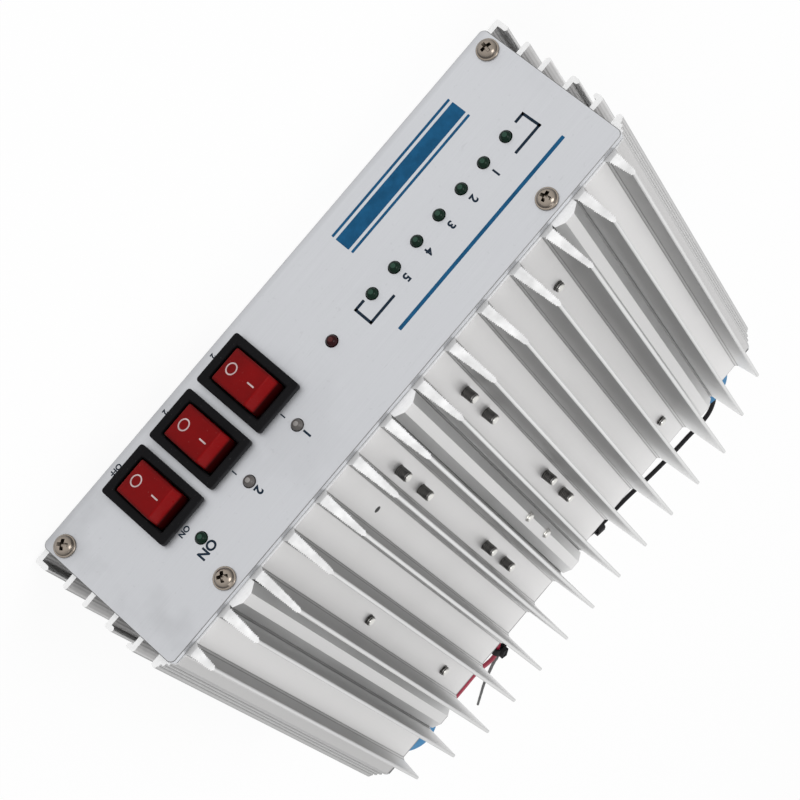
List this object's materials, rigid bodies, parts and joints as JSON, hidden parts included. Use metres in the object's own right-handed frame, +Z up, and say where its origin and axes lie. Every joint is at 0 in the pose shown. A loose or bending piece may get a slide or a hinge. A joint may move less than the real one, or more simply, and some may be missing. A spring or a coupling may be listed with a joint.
{
  "type": "radio power amplifier",
  "caption": "Mobile radio power amplifier in a finned extruded case, with rocker switches, a row of level lamps, capped coaxial sockets and short supply leads at the back.",
  "frame": {"origin": "Under the middle of the case's box, without the loose leads, at the level of the rails that it stands on.", "axes": "+X to the right of someone facing the front panel, +Y from the front panel to the back, +Z up towards the fins."},
  "size_m": [0.174, 0.3372, 0.0613],
  "materials": {
    "housing": "satin silver anodised extrusion with fine lengthwise drawing lines",
    "panel": "fine brushed silver anodised sheet",
    "cover": "plain mill finish sheet",
    "panel_screw": "warm nickel plated",
    "switch_frame": "black moulded plastic",
    "rocker": "red moulded plastic",
    "brass": "plain brass",
    "lamp_green": "tinted green lens",
    "lamp_red": "tinted red lens",
    "lamp_clear": "milky clear lens",
    "board": "green circuit board",
    "steel_screw": "zinc plated",
    "white_plastic": "white plastic",
    "ceramic": "ceramic body on a plated flange",
    "ferrite": "dark sintered ferrite",
    "relay": "blue moulded case",
    "winding": "varnished copper winding",
    "capacitor": "dark sleeved can",
    "plated": "bright nickel plating",
    "dust_cap": "blue moulded plastic",
    "grommet": "black rubber",
    "black_lead": "black insulated wire",
    "red_lead": "red insulated wire",
    "tinned": "tinned copper strands"
  },
  "bodies": {
    "case": {"housing": "housing", "bottom_cover": "cover", "front_panel": "panel", "rear_panel": "panel", "panel_screws": "panel_screw", "switch_frame_1": "switch_frame", "switch_frame_2": "switch_frame", "switch_frame_3": "switch_frame", "switch_blades_1": "brass", "switch_blades_2": "brass", "switch_blades_3": "brass", "level_lamp_1": "lamp_green", "level_lamp_2": "lamp_green", "level_lamp_3": "lamp_green", "level_lamp_4": "lamp_green", "level_lamp_5": "lamp_green", "level_lamp_6": "lamp_green", "level_lamp_7": "lamp_green", "peak_lamp": "lamp_red", "drive_lamp": "lamp_clear", "preamp_lamp": "lamp_clear", "power_lamp": "lamp_green", "indicator_board": "board", "indicator_spacers": "brass", "indicator_screws": "steel_screw", "main_board": "board", "board_spacers": "white_plastic", "board_screws": "steel_screw", "power_transistor_1": "ceramic", "power_transistor_2": "ceramic", "power_transistor_3": "ceramic", "power_transistor_4": "ceramic", "bias_sensor": "ferrite", "device_screws": "steel_screw", "output_transformer": "ferrite", "input_transformer": "ferrite", "relay_1": "relay", "relay_2": "relay", "filter_coil_1": "winding", "filter_coil_2": "winding", "capacitor_1": "capacitor", "capacitor_2": "capacitor", "input_socket": "plated", "output_socket": "plated", "input_insulator": "white_plastic", "output_insulator": "white_plastic", "input_contact": "brass", "output_contact": "brass", "socket_nuts": "plated", "lead_grommet": "grommet", "black_lead": "black_lead", "red_lead": "red_lead", "black_lead_end": "tinned", "red_lead_end": "tinned", "lead_ties": "black_lead"},
    "rocker_1": {"rocker_1": "rocker"},
    "rocker_2": {"rocker_2": "rocker"},
    "rocker_3": {"rocker_3": "rocker"},
    "input_cap": {"input_cap": "dust_cap"},
    "output_cap": {"output_cap": "dust_cap"}
  },
  "joints": [
    {"name": "rocker_1_tilt", "type": "hinge", "parent": "case", "child": "rocker_1", "pos_m": [0.02, -0.09473, 0.0144], "axis": [1, 0, 0], "range_deg": [-26, 0]},
    {"name": "rocker_2_tilt", "type": "hinge", "parent": "case", "child": "rocker_2", "pos_m": [0.0374, -0.09473, 0.0144], "axis": [1, 0, 0], "range_deg": [-26, 0]},
    {"name": "rocker_3_tilt", "type": "hinge", "parent": "case", "child": "rocker_3", "pos_m": [0.0548, -0.09473, 0.0144], "axis": [1, 0, 0], "range_deg": [-26, 0]},
    {"name": "input_cap_pull", "type": "slide", "parent": "case", "child": "input_cap", "axis": [0, 1, 0], "range_m": [0, 0.03]},
    {"name": "output_cap_pull", "type": "slide", "parent": "case", "child": "output_cap", "axis": [0, 1, 0], "range_m": [0, 0.03]}
  ]
}
